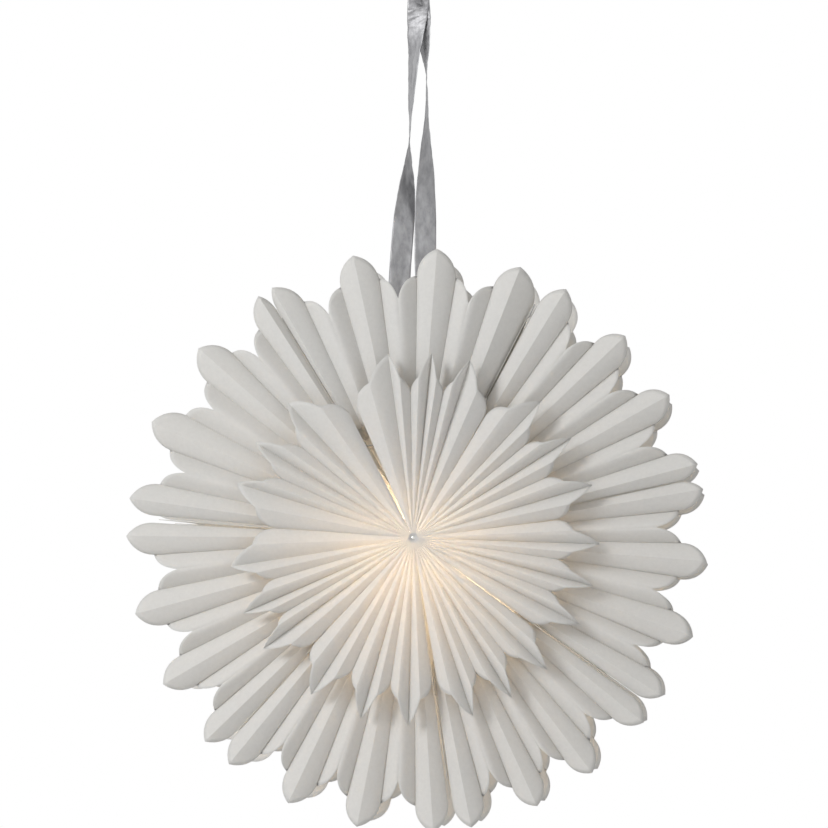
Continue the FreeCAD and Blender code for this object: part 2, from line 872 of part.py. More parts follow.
def centre_contact():
    """Sprung plunger: head on the bulb's tip, stem through the socket's floor."""
    base = bulb_tip_z() + contact_touch
    profile = [
        (0, base),
        (contact_head_r - 0.4, base),
        (contact_head_r, base + 0.3),
        (contact_head_r, base + contact_head_t),
        (contact_stem_r, base + contact_head_t),
        (contact_stem_r, base + contact_head_t + contact_stem_h),
        (0, base + contact_head_t + contact_stem_h),
    ]
    return faceted(profile, lamp_x, small_sides)


def bulb_cap():
    """Screw cap, here without its thread, with an insulator and the centre tip."""
    tip_top = bulb_tip_z()
    screw_top = tip_top - tip_t - insulator_t
    profile = [
        (0, tip_top),
        (tip_r * 0.8, tip_top),
        (tip_r, tip_top - tip_t),
        (screw_r - screw_chamfer, screw_top),
        (screw_r, screw_top - screw_chamfer),
        (screw_r, screw_base_z),
        (0, screw_base_z),
    ]
    return faceted(profile, lamp_x)


def globe_rim_r():
    return math.sqrt(globe_r ** 2 - (globe_rim_z - globe_z) ** 2)


def globe_outline(radius):
    """Round from the globe's lowest point up to its rim, as (radius, z) points."""
    rim_lean = math.asin((globe_rim_z - globe_z) / radius)
    step = (math.pi / 2 + rim_lean) / globe_bands
    turns = [step * i - math.pi / 2 for i in range(1, globe_bands + 1)]
    rise = [(radius * math.cos(a), globe_z + radius * math.sin(a)) for a in turns]
    return [(0, globe_z - radius)] + rise


def bulb_globe():
    """Thin light-spreading globe, cut flat where it sits on the neck."""
    inner = globe_outline(globe_r - globe_wall)
    return faceted(globe_outline(globe_r) + inner[::-1], lamp_x)


def bulb_neck():
    """Plastic neck that narrows in a hollow curve from the globe's rim to the screw cap."""
    low = Vec(globe_rim_r(), 0, globe_rim_z)
    high = Vec(neck_top_r, 0, screw_base_z)
    middle = Vec((low.x + high.x) / 2 - 1.5, 0, (low.z + high.z) / 2 + 1.5)
    outline = [(p.x, p.z) for p in arc_points(low, middle, high, neck_bands)]
    return faceted([(0, globe_rim_z)] + outline + [(0, screw_base_z)], lamp_x)


# ---- assembly ----

nodes = {}
for k in range(len(seams)):
    number = str(k + 1)
    nodes["front_large_section_" + number] = large_section(k)
    nodes["front_small_section_" + number] = small_section(k)
    nodes["back_large_section_" + number] = mirrored(large_section(k))
    nodes["back_small_section_" + number] = mirrored(small_section(k))

for i, angle in enumerate(glued_seams):
    nodes["seam_wall_" + str(i + 1)] = wall(angle, wall_t, wall_hub_r, bar_hole=(i == 0))
for name, angle in zip(("closing_wall_left", "closing_wall_right"), closing_walls()):
    nodes[name] = wall(angle, wall_ply_t, closing_hub_r(), bar_hole=True, tie_hole=True)

eyelets = [eyelet(glued_seams[0], wall_t)]
eyelets += [eyelet(angle, wall_ply_t) for angle in closing_walls()]
nodes["wall_eyelets"] = Part.makeCompound(eyelets)
nodes["front_hub_washer"] = hub_washer()
nodes["back_hub_washer"] = mirrored(hub_washer())
nodes["front_hub_rivet"] = hub_rivet()
nodes["back_hub_rivet"] = mirrored(hub_rivet())
nodes["crossbar"] = crossbar()
nodes["closing_tie"] = closing_tie()

nodes["ribbon_loop"] = ribbon_loop()
nodes["ribbon_knot"] = ribbon_knot()
nodes["ribbon_strand_left"] = strand(left_strand, -1)
nodes["ribbon_strand_right"] = strand(right_strand, 1)
nodes["ribbon_hems"] = Part.makeCompound([hem(hem_x(side)) for side in (-1, 1)])
nodes["hem_staples"] = Part.makeCompound([staple(hem_x(side)) for side in (-1, 1)])

nodes["lamp_stirrup"] = stirrup()
nodes["cord_gland"] = cord_gland()
nodes["holder_cap"] = holder_cap()
nodes["holder_shell"] = holder_shell()
nodes["shade_ring"] = shade_ring()
nodes["socket_insert"] = socket_insert()
nodes["side_contact"] = side_contact()
nodes["centre_contact"] = centre_contact()
nodes["bulb_cap"] = bulb_cap()
nodes["bulb_neck"] = bulb_neck()
nodes["bulb_globe"] = bulb_globe()

for name, shape in nodes.items():
    move(shape, -hang_offset, 0, -hang_drop)
    shape.exportStep(os.path.join("parts", name + ".step"))
    if not shape.isValid() or shape.Volume <= 0:
        print("check", name, shape.isValid(), round(shape.Volume, 2))
print(len(nodes), "nodes")
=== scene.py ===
import bpy
import bmesh
import math
from mathutils import Matrix, Vector, noise


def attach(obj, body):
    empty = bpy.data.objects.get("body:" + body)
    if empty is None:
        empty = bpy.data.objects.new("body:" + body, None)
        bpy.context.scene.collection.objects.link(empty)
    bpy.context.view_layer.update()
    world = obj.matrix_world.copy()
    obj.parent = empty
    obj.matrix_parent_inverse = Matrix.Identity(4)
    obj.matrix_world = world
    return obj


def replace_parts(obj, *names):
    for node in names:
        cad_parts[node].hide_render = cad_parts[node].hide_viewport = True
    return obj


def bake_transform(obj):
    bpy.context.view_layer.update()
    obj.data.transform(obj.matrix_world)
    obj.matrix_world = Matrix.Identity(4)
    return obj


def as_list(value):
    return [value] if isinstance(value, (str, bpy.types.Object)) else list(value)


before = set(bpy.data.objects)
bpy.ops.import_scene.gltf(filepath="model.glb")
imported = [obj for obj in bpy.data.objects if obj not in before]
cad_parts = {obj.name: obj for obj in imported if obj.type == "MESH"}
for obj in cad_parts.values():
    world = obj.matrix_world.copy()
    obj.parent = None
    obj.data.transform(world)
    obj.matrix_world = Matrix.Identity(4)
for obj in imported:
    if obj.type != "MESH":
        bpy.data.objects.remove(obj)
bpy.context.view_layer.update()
mm = 0.001
starCentre = Vector((1.5, 0.0, -626.0)) * mm  # the hub's middle, below the loop's inner top
lampAxisX = -4.25  # the lamp hangs this far left of the hub, in millimetres


def newObject(name, mesh, body=None):
    piece = bpy.data.objects.new(name, mesh)
    bpy.context.scene.collection.objects.link(piece)
    if body:
        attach(piece, body)
    return piece


def finishMesh(shape, name, material, sharpAngle=40.0):
    mesh = bpy.data.meshes.new(name)
    shape.to_mesh(mesh)
    shape.free()
    mesh.materials.append(material)
    mesh.shade_smooth()
    mesh.set_sharp_from_angle(angle=math.radians(sharpAngle))
    return mesh


def newMaterial(name, color, roughness=0.5, metallic=0.0):
    material = bpy.data.materials.new(name)
    material.use_nodes = True
    shader = material.node_tree.nodes["Principled BSDF"]
    shader.inputs["Base Color"].default_value = (*color, 1)
    shader.inputs["Roughness"].default_value = roughness
    shader.inputs["Metallic"].default_value = metallic
    return material


def addNode(material, kind, **values):
    node = material.node_tree.nodes.new(kind)
    for key, value in values.items():
        if key in node.inputs:
            node.inputs[key].default_value = value
        else:
            setattr(node, key, value)
    return node


def connect(material, fromSocket, toSocket):
    material.node_tree.links.new(fromSocket, toSocket)


# a colour that wanders between two tones, with the same pattern as a fine relief
def mottle(material, scale, low, high, bump=0.0, depth=0.2, stretch=(1, 1, 1)):
    shader = material.node_tree.nodes["Principled BSDF"]
    place = addNode(material, "ShaderNodeTexCoord")
    mapping = addNode(material, "ShaderNodeMapping", Scale=stretch)
    grain = addNode(material, "ShaderNodeTexNoise", Scale=scale, Detail=5.0, Roughness=0.6)
    ramp = addNode(material, "ShaderNodeValToRGB")
    ramp.color_ramp.elements[0].position = 0.3
    ramp.color_ramp.elements[0].color = (*low, 1)
    ramp.color_ramp.elements[1].position = 0.7
    ramp.color_ramp.elements[1].color = (*high, 1)
    connect(material, place.outputs["Object"], mapping.inputs["Vector"])
    connect(material, mapping.outputs["Vector"], grain.inputs["Vector"])
    connect(material, grain.outputs["Fac"], ramp.inputs["Fac"])
    connect(material, ramp.outputs["Color"], shader.inputs["Base Color"])
    if bump:
        relief = addNode(material, "ShaderNodeBump", Strength=bump, Distance=depth * mm)
        connect(material, grain.outputs["Fac"], relief.inputs["Height"])
        connect(material, relief.outputs["Normal"], shader.inputs["Normal"])


# white paper that lets a part of the lamp's light through
def paperMaterial(name, low, high, through, warmth):
    material = newMaterial(name, high, 0.75)
    mottle(material, 260.0, low, high, 0.25, 0.15)
    nodes = material.node_tree.nodes
    shader = nodes["Principled BSDF"]
    shader.inputs["Specular IOR Level"].default_value = 0.25
    glow = addNode(material, "ShaderNodeBsdfTranslucent", Color=(*warmth, 1))
    mix = addNode(material, "ShaderNodeMixShader", Fac=through)
    connect(material, shader.outputs["BSDF"], mix.inputs[1])
    connect(material, glow.outputs["BSDF"], mix.inputs[2])
    connect(material, mix.outputs["Shader"], nodes["Material Output"].inputs["Surface"])
    return material


def mottledMaterial(name, low, high, roughness, metallic=0.0, scale=300.0, bump=0.1, stretch=(1, 1, 1)):
    material = newMaterial(name, high, roughness, metallic)
    mottle(material, scale, low, high, bump, 0.1, stretch)
    return material


def litMaterial(name, color, tint, strength):
    material = mottledMaterial(name, tuple(c * 0.96 for c in color), color, 0.4)
    shader = material.node_tree.nodes["Principled BSDF"]
    shader.inputs["Emission Color"].default_value = (*tint, 1)
    shader.inputs["Emission Strength"].default_value = strength
    return material


paper = {
    "low": (0.768, 0.77, 0.765),
    "high": (0.818, 0.82, 0.815),
    "through": 0.27,
    "wallThrough": 0.3,
    "warmth": (0.86, 0.82, 0.74),
}
bulbLight = {"tint": (1.0, 0.71, 0.42), "strength": 95.0}
starPaper = paperMaterial("star paper", paper["low"], paper["high"], paper["through"], paper["warmth"])
wallPaper = paperMaterial("wall paper", paper["low"], paper["high"], paper["wallThrough"], paper["warmth"])
cardBoard = mottledMaterial("card", (0.62, 0.58, 0.5), (0.74, 0.7, 0.62), 0.8, bump=0.3)
drawnAlong = (0.1, 1, 1)  # marks stretched along the wire
steelWire = mottledMaterial(
    "steel wire", (0.42, 0.42, 0.42), (0.56, 0.56, 0.55), 0.35, 1.0, 500.0, 0.1, drawnAlong
)
nickel = mottledMaterial("nickel", (0.62, 0.6, 0.56), (0.74, 0.72, 0.68), 0.22, 1.0, 400.0, 0.05)
whitePlastic = mottledMaterial(
    "white plastic", (0.77, 0.77, 0.75), (0.81, 0.81, 0.79), 0.35, 0.0, 200.0, 0.05
)
insulator = mottledMaterial("insulator", (0.72, 0.7, 0.65), (0.78, 0.76, 0.72), 0.6, 0.0, 250.0)
brass = mottledMaterial("contact brass", (0.72, 0.54, 0.22), (0.84, 0.68, 0.36), 0.28, 1.0, 400.0, 0.05)
capMetal = mottledMaterial("cap metal", (0.7, 0.7, 0.68), (0.82, 0.82, 0.8), 0.3, 1.0, 400.0, 0.05)
litGlobe = litMaterial("lit globe", (0.9, 0.88, 0.84), bulbLight["tint"], bulbLight["strength"])

nodeFinish = {
    wallPaper: ["seam_wall_%d" % k for k in range(1, 7)] + ["closing_wall_left", "closing_wall_right"],
    cardBoard: ["front_hub_washer", "back_hub_washer"],
    nickel: ["wall_eyelets", "front_hub_rivet", "back_hub_rivet"],
    steelWire: ["crossbar", "closing_tie", "hem_staples", "lamp_stirrup"],
    whitePlastic: ["cord_gland", "holder_cap"],
    insulator: ["socket_insert"],
    brass: ["side_contact", "centre_contact"],
}
for finish, names in nodeFinish.items():
    for name in names:
        cadObject = bpy.data.objects[name]
        cadObject.data.materials.clear()
        cadObject.data.materials.append(finish)
print("materials done")


view = {
    "azimuth": 6.0,
    "elevation": -4.5,
    "distance": 3.2,
    "mmPerPixel": 1.03,
    "hubPixel": (413.0, 538.0),  # where the hub shows in the frame
    "frameSize": 828,
    "hubDepth": -70.0,
    "sensor": 36.0,
}
azimuth, elevation = math.radians(view["azimuth"]), math.radians(view["elevation"])
back = Vector((
    math.sin(azimuth) * math.cos(elevation),
    -math.cos(azimuth) * math.cos(elevation),
    math.sin(elevation),
))
turn = (-back).to_track_quat("-Z", "Y")
right, up = turn @ Vector((1, 0, 0)), turn @ Vector((0, 1, 0))
pixel = view["mmPerPixel"] * mm
middle = view["frameSize"] / 2
hub = starCentre + Vector((0, view["hubDepth"] * mm, 0))
hubColumn, hubRow = view["hubPixel"]
target = hub + right * (middle - hubColumn) * pixel - up * (middle - hubRow) * pixel
cameraData = bpy.data.cameras.new("camera")
cameraData.sensor_width = view["sensor"]
cameraData.lens = view["sensor"] * view["distance"] / (view["frameSize"] * pixel)
camera = bpy.data.objects.new("camera", cameraData)
camera.rotation_mode = "QUATERNION"
camera.rotation_quaternion = turn
camera.location = target + back * view["distance"]
bpy.context.scene.collection.objects.link(camera)
bpy.context.scene.camera = camera

studio = {
    "keyPlace": (-2.2, -2.2, 1.4),
    "keySize": 1.5,
    "keyPower": 58.0,
    "fillPlace": (2.4, -2.6, -0.3),
    "fillSize": 2.0,
    "fillPower": 11.0,
    "ambient": 0.43,
    "floorDrop": 0.75,
    "floorReach": 6.0,
    "floorTone": (0.84, 0.86),
}


def softLamp(name, place, size, power):
    lamp = bpy.data.lights.new(name, "AREA")
    lamp.shape, lamp.size, lamp.energy = "DISK", size, power
    lampObject = bpy.data.objects.new(name, lamp)
    lampObject.location = starCentre + Vector(place)
    lampObject.rotation_mode = "QUATERNION"
    lampObject.rotation_quaternion = (-Vector(place)).to_track_quat("-Z", "Y")
    bpy.context.scene.collection.objects.link(lampObject)


softLamp("key", studio["keyPlace"], studio["keySize"], studio["keyPower"])
softLamp("fill", studio["fillPlace"], studio["fillSize"], studio["fillPower"])

world = bpy.data.worlds.new("studio")
bpy.context.scene.world = world
world.use_nodes = True
worldNodes = world.node_tree.nodes
worldLinks = world.node_tree.links
sky = worldNodes["Background"]
sky.inputs["Color"].default_value = (1, 1, 1, 1)
lightPath = worldNodes.new("ShaderNodeLightPath")
seen = worldNodes.new("ShaderNodeMath")
seen.operation = "MAXIMUM"
seenThrough = worldNodes.new("ShaderNodeMath")
seenThrough.operation = "MAXIMUM"
level = worldNodes.new("ShaderNodeMapRange")
level.inputs["To Min"].default_value = studio["ambient"]
level.inputs["To Max"].default_value = 1.0
worldLinks.new(lightPath.outputs["Is Camera Ray"], seen.inputs[0])
worldLinks.new(lightPath.outputs["Is Glossy Ray"], seen.inputs[1])
worldLinks.new(seen.outputs[0], seenThrough.inputs[0])
worldLinks.new(lightPath.outputs["Is Transmission Ray"], seenThrough.inputs[1])
worldLinks.new(seenThrough.outputs[0], level.inputs["Value"])
worldLinks.new(level.outputs["Result"], sky.inputs["Strength"])
bpy.context.scene.view_settings.view_transform = "Standard"

floorShape = bmesh.new()
bmesh.ops.create_grid(floorShape, x_segments=1, y_segments=1, size=studio["floorReach"])
floorPlace = Vector((0, 0, starCentre.z - studio["floorDrop"]))
bmesh.ops.translate(floorShape, vec=floorPlace, verts=floorShape.verts)
floorLow, floorHigh = studio["floorTone"]
floorFinish = mottledMaterial("pale floor", (floorLow,) * 3, (floorHigh,) * 3, 0.8, 0.0, 3.0, 0.0)
floor = newObject("floor", finishMesh(floorShape, "floor", floorFinish))
print("camera, light and stage done")


ribbon = {
    "width": 23.0,
    "thickness": 0.3,
    "crinkle": 0.7,
    "rows": 300,
    "columns": 14,
    "low": (0.24, 0.24, 0.25),
    "high": (0.42, 0.42, 0.43),
}


# silver foil ribbon: fine threads along it from its own UV, soft crumples across it
def ribbonMaterial():
    material = newMaterial("silver ribbon", ribbon["high"], 0.5, 0.7)
    mottle(material, 140.0, ribbon["low"], ribbon["high"], 0.5, 0.8, (1, 1, 0.5))
    shader = material.node_tree.nodes["Principled BSDF"]
    crumple = shader.inputs["Normal"].links[0].from_node
    place = addNode(material, "ShaderNodeUVMap", uv_map="ribbonMap")
    threads = addNode(material, "ShaderNodeTexWave", Scale=14.0, Distortion=0.6, Detail=1.0)
    weave = addNode(material, "ShaderNodeBump", Strength=0.15, Distance=0.05 * mm)
    connect(material, place.outputs["UV"], threads.inputs["Vector"])
    connect(material, threads.outputs["Fac"], weave.inputs["Height"])
    connect(material, weave.outputs["Normal"], crumple.inputs["Normal"])
    return material


silverRibbon = ribbonMaterial()

# across, forward, height above the star's centre, turn of the flat side in degrees
leftStrand = [
    (-28.0, 0.0, 115.0, 0.0),
    (-26.0, 0.0, 190.0, 0.0),
    (-21.5, 0.0, 285.0, 0.0),
    (-17.5, 0.0, 335.0, 14.0),
    (-13.5, 0.0, 378.0, 52.0),
    (-11.5, 0.0, 416.0, 90.0),
    (-9.5, 0.0, 465.0, 110.0),
    (-6.3, 0.0, 518.0, 127.0),
    (-3.8, 0.0, 545.0, 150.0),
    (-2.3, -0.5, 562.0, 170.0),
    (-1.5, -0.8, 575.0, 180.0),
    (-1.5, -0.8, 584.7, 180.0),
]
rightStrand = [
    (19.5, 0.0, 115.0, 0.0),
    (13.0, 0.0, 190.0, 0.0),
    (5.8, 0.0, 280.0, 0.0),
    (5.8, 0.0, 325.0, 8.0),
    (6.3, 0.0, 385.0, 45.0),
    (7.4, 0.0, 448.0, 86.0),
    (7.4, 0.0, 498.0, 96.0),
    (5.9, 0.0, 518.0, 116.0),
    (3.0, 0.0, 545.0, 140.0),
    (0.5, 0.5, 562.0, 166.0),
    (-1.5, 0.8, 575.0, 180.0),
    (-1.5, 0.8, 584.7, 180.0),
]


# points along the smooth spline that the route's points steer
def smoothRoute(points):
    curve = bpy.data.curves.new("route", "CURVE")
    curve.dimensions = "3D"
    curve.resolution_u = 24
    spline = curve.splines.new("NURBS")
    spline.points.add(len(points) - 1)
    for spot, (x, y, z, _) in zip(spline.points, points):
        spot.co = (*(starCentre + Vector((x, y, z)) * mm), 1)
    spline.order_u = 3
    spline.use_endpoint_u = True
    routeObject = bpy.data.objects.new("route", curve)
    mesh = bpy.data.meshes.new_from_object(routeObject)
    line = [v.co.copy() for v in mesh.vertices]
    bpy.data.objects.remove(routeObject)
    return line


def turnAt(points, z):
    for (_, _, z0, a0), (_, _, z1, a1) in zip(points, points[1:]):
        if z <= z1:
            return math.radians(a0 + (a1 - a0) * (z - z0) / (z1 - z0))
    return math.radians(points[-1][3])


# a flat band over a grid: place(across -1..1, along 0..1) gives each point
def bandPiece(name, rows, columns, place, body=None):
    shape = bmesh.new()
    uvLayer = shape.loops.layers.uv.new("ribbonMap")
    bmesh.ops.create_grid(shape, x_segments=columns, y_segments=rows, size=1.0)
    for face in shape.faces:
        for corner in face.loops:
            corner[uvLayer].uv = ((corner.vert.co.x + 1) / 2, (corner.vert.co.y + 1) / 2)
    for v in shape.verts:
        v.co = place(v.co.x, (v.co.y + 1) / 2)
    piece = newObject(name, finishMesh(shape, name, silverRibbon, 70.0), body)
    thick = piece.modifiers.new("thickness", "SOLIDIFY")
    thick.thickness = ribbon["thickness"] * mm
    thick.offset = 0
    return piece


def strandPiece(name, points, seed):
    line = smoothRoute(points)
    total = len(line) - 1

    def place(across, along):
        spot = along * total
        k = min(int(spot), total - 1)
        centre = line[k].lerp(line[k + 1], spot - k)
        angle = turnAt(points, (centre.z - starCentre.z) / mm)
        side = Vector((math.cos(angle), math.sin(angle), 0))
        face = Vector((-math.sin(angle), math.cos(angle), 0))
        ripple = noise.noise(Vector((across * 0.9 + seed, along * 24, seed)))
        ripple += 0.6 * noise.noise(Vector((across * 2.4 + seed, along * 60 + across * 2, 3 + seed)))
        ripple += 0.25 * noise.noise(Vector((across * 5.0, along * 150, 9 + seed)))
        hold = min(1, along * 12, (1 - along) * 12)
        lift = ripple * hold * ribbon["crinkle"] * mm
        return centre + side * across * ribbon["width"] / 2 * mm + face * lift

    return bandPiece(name, ribbon["rows"], ribbon["columns"], place), line


loop = {"radius": 6.0, "height": 27.0, "top": 626.0, "x": -1.5, "rows": 90}


# loop: up the front side, round the hook's place and down the back side
def loopPlace(across, along):
    radius, low = loop["radius"] + ribbon["thickness"] / 2, loop["top"] - loop["height"]
    centreZ = loop["top"] - loop["radius"]
    lean = math.asin(radius / (centreZ - low))
    sideLength = (centreZ - low) * math.cos(lean)
    arcLength = (math.pi + 2 * lean) * radius
    walked = along * (2 * sideLength + arcLength)
    if walked < sideLength or walked > sideLength + arcLength:
        sign = -1 if walked < sideLength else 1
        step = walked if sign < 0 else 2 * sideLength + arcLength - walked
        y, z = sign * step * math.sin(lean), low + step * math.cos(lean)
    else:
        angle = (walked - sideLength) / radius - lean
        y, z = -radius * math.cos(angle), centreZ + radius * math.sin(angle)
    wave = noise.noise(Vector((across * 1.3, along * 7, 21.0))) * 0.25
    wave *= min(1, along * 8, (1 - along) * 8)
    gather = 1 - 0.35 * max(0, 1 - min(along, 1 - along) * 6)  # drawn in towards the knot
    return starCentre + Vector((loop["x"] + across * ribbon["width"] / 2 * gather, y + wave, z)) * mm


loopPiece = bandPiece("hangingLoop", loop["rows"], ribbon["columns"], loopPlace, "ribbon_top")
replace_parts(loopPiece, "ribbon_loop")

knot = {
    "x": -1.5, "z": 592.0, "halfWide": 11.0, "halfDeep": 5.8, "halfHigh": 6.9,
    "bandRise": 1.03, "bandHalf": 2.9, "lean": 14.0,
}


# knot: a soft lump with folds, and a crumpled band of ribbon drawn round it
def knotPiece():
    shape = bmesh.new()
    bmesh.ops.create_uvsphere(shape, u_segments=64, v_segments=40, radius=1.0)
    for v in shape.verts:
        p = v.co.copy()
        angle = math.atan2(p.y, p.x)
        folds = 1 + 0.05 * math.sin(angle * 9 + p.z * 2.5) + 0.05 * noise.noise(p * 3.0)
        v.co = Vector((
            p.x * knot["halfWide"] * folds * 0.93,
            p.y * knot["halfDeep"] * folds * 0.9,
            (p.z * 0.9 + 0.1 * p.z * abs(p.z)) * knot["halfHigh"],
        ))
    lumpSize = len(shape.verts)
    bmesh.ops.create_cone(shape, cap_ends=False, segments=72, radius1=1.0, radius2=1.0, depth=2.0)
    upright = [e for e in shape.edges if abs(e.verts[0].co.z - e.verts[1].co.z) > 1]
    bmesh.ops.subdivide_edges(shape, edges=upright, cuts=7, use_grid_fill=True)
    shape.verts.ensure_lookup_table()
    leanTurn = Matrix.Rotation(math.radians(knot["lean"]), 3, "Y")
    for v in shape.verts[lumpSize:]:
        angle, share = math.atan2(v.co.y, v.co.x), v.co.z
        crumple = noise.noise(Vector((math.cos(angle) * 2, math.sin(angle) * 2, share * 4)))
        swell = knot["bandRise"] - 0.05 * share * share + 0.035 * crumple
        v.co = leanTurn @ Vector((
            math.cos(angle) * knot["halfWide"] * swell,
            math.sin(angle) * knot["halfDeep"] * swell,
            share * knot["bandHalf"],
        ))
    bmesh.ops.scale(shape, vec=(mm, mm, mm), verts=shape.verts)
    knotPlace = starCentre + Vector((knot["x"], 0, knot["z"])) * mm
    bmesh.ops.translate(shape, vec=knotPlace, verts=shape.verts)
    shape.loops.layers.uv.new("ribbonMap")
    return newObject("ribbonKnot", finishMesh(shape, "ribbonKnot", silverRibbon, 60.0), "ribbon_top")


knotted = knotPiece()
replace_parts(knotted, "ribbon_knot")

for name, node, points, seed, farEnd, extra in (
    ("leftRibbon", "ribbon_strand_left", leftStrand, 1.0, "knot", [knotted, loopPiece]),
    ("rightRibbon", "ribbon_strand_right", rightStrand, 7.0, "object", []),
):
    piece, line = strandPiece(name, points, seed)
    length = sum((b - a).length for a, b in zip(line, line[1:]))
    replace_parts(piece, node)
    tuple(line[-1])
    tuple(line[0])
    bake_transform(piece)
    tuple(line[0])
    [tuple(p) for p in line]
    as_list(extra)
    print(name, "length", round(length, 4))

hem = {
    "barRadius": 1.2, "play": 0.08, "barZ": 100.0, "tab": 15.0, "left": -28.0, "right": 19.5,
    "rows": 70, "plyGap": 0.01,
}


# ribbon end: down the front, round the crossbar and up the back
def hemPlace(x, seed):
    radius = hem["barRadius"] + hem["play"] + ribbon["thickness"] / 2
    half = ribbon["thickness"] / 2 + hem["plyGap"]
    lean = math.asin((radius - half) / hem["tab"])
    sideLength = hem["tab"] * math.cos(lean)
    arcLength = (math.pi + 2 * lean) * radius

    def place(across, along):
        walked = along * (2 * sideLength + arcLength)
        if walked < sideLength or walked > sideLength + arcLength:
            sign = -1 if walked < sideLength else 1
            step = walked if sign < 0 else 2 * sideLength + arcLength - walked
            y, z = sign * (half + step * math.sin(lean)), hem["tab"] - step * math.cos(lean)
        else:
            angle = (walked - sideLength) / radius + lean
            y, z = -radius * math.cos(angle - 2 * lean), -radius * math.sin(angle - 2 * lean)
        wave = noise.noise(Vector((across * 1.5 + seed, along * 6, seed))) * 0.1
        y += wave * (1 if y > 0 else -1)
        return starCentre + Vector((x + across * ribbon["width"] / 2, y, hem["barZ"] + z)) * mm

    return place


for side, seed in (("left", 31.0), ("right", 37.0)):
    place = hemPlace(hem[side], seed)
    piece = bandPiece(side + "RibbonHem", hem["rows"], ribbon["columns"], place, "ribbon_ends")
    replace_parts(piece, "ribbon_hems")
print("ribbon done")


largeFan = {
    "front": -60.0, "tip": 302.0, "lobe": 275.0, "notch": 250.0, "seamEnd": 271.0, "inner": 128.0,
    "depth": 13.0, "tipBulge": 0.13, "lobeBulge": 0.19, "bow": 0.08, "across": 8, "along": 26,
    "seams": [-31.2, 27.3, 78.1, 125.5, 172.4, 223.0, 274.5],
    "slits": [0.5, 0.6, 0.3, 0.5, 0.6, 0.3, 0.9],  # how far each seam gapes, to each side
    "tips": [
        [-29.6, -12.2, 4.6, 21.6],
        [31.6, 46.5, 61.0, 75.6],
        [80.6, 94.7, 109.5, 122.4],
        [128.7, 142.7, 155.2, 168.7],
        [176.2, 191.3, 205.6, 219.6],
        [226.1, 240.1, 255.1, 270.7],
        [278.2, 294.0, 311.4, 327.2],
    ],
}
smallFan = {
    "front": -68.0, "tip": 192.5, "lobe": 166.0, "notch": 141.0, "seamEnd": 148.0, "inner": 1.5,
    "depth": -12.0, "tipBulge": 0.10, "lobeBulge": 0.15, "bow": 0.05, "across": 6, "along": 30,
    "seams": [-25.3, 30.6, 83.0, 126.0, 171.5, 223.6, 274.4],
    "slits": [2.0, 0.3, 0.25, 0.6, 1.2, 0.25, 0.3],
    "tips": [
        [-7.8, 5.8, 17.9],
        [43.3, 58.0, 73.8],
        [92.1, 105.1, 117.4],
        [134.4, 148.2, 161.4],
        [181.5, 196.3, 213.3],
        [233.9, 246.4, 261.4],
        [287.4, 301.2, 317.2],
    ],
}
sheet = {"thickness": 0.4, "closingFold": 1.9}  # the facet before the closing seam is bent back


# creases of one section as (angle, end radius, slope back), and the bow of each cut edge
def fanCreases(fan, k):
    seams, tips, slits = fan["seams"], fan["tips"], fan["slits"]
    first = seams[k] + slits[k]
    last = (seams[k + 1] if k + 1 < len(seams) else seams[0] + 360) - slits[(k + 1) % len(seams)]
    fold = fan["depth"] / fan["lobe"]
    tipBulge, lobeBulge = fan["tipBulge"], fan["lobeBulge"]
    if fan is largeFan:
        creases, bulges = [(first, fan["seamEnd"], fold)], [tipBulge]
    else:
        creases = [(first, fan["seamEnd"], 0.0), ((first + tips[k][0]) / 2, fan["lobe"], fold)]
        bulges = [lobeBulge, tipBulge]
    for a, b in zip(tips[k], tips[k][1:]):
        creases += [
            (a, fan["tip"], 0.0),
            (a + (b - a) * 0.25, fan["lobe"], fold),
            (a + (b - a) * 0.5, fan["notch"], 0.0),
            (a + (b - a) * 0.75, fan["lobe"], fold),
        ]
        bulges += [tipBulge, lobeBulge, lobeBulge, tipBulge]
    creases.append((tips[k][-1], fan["tip"], 0.0))
    if fan is not largeFan:
        creases.append(((last + tips[k][-1]) / 2, fan["lobe"], fold))
        bulges.append(tipBulge)
    creases.append((last, fan["seamEnd"], fold if fan is largeFan else 0.0))
    bulges.append(tipBulge if fan is largeFan else lobeBulge)
    return creases, bulges


def creasePoint(crease, fan, r):
    a = math.radians(crease[0])
    return Vector((r * math.sin(a), fan["front"] + crease[2] * r, r * math.cos(a)))


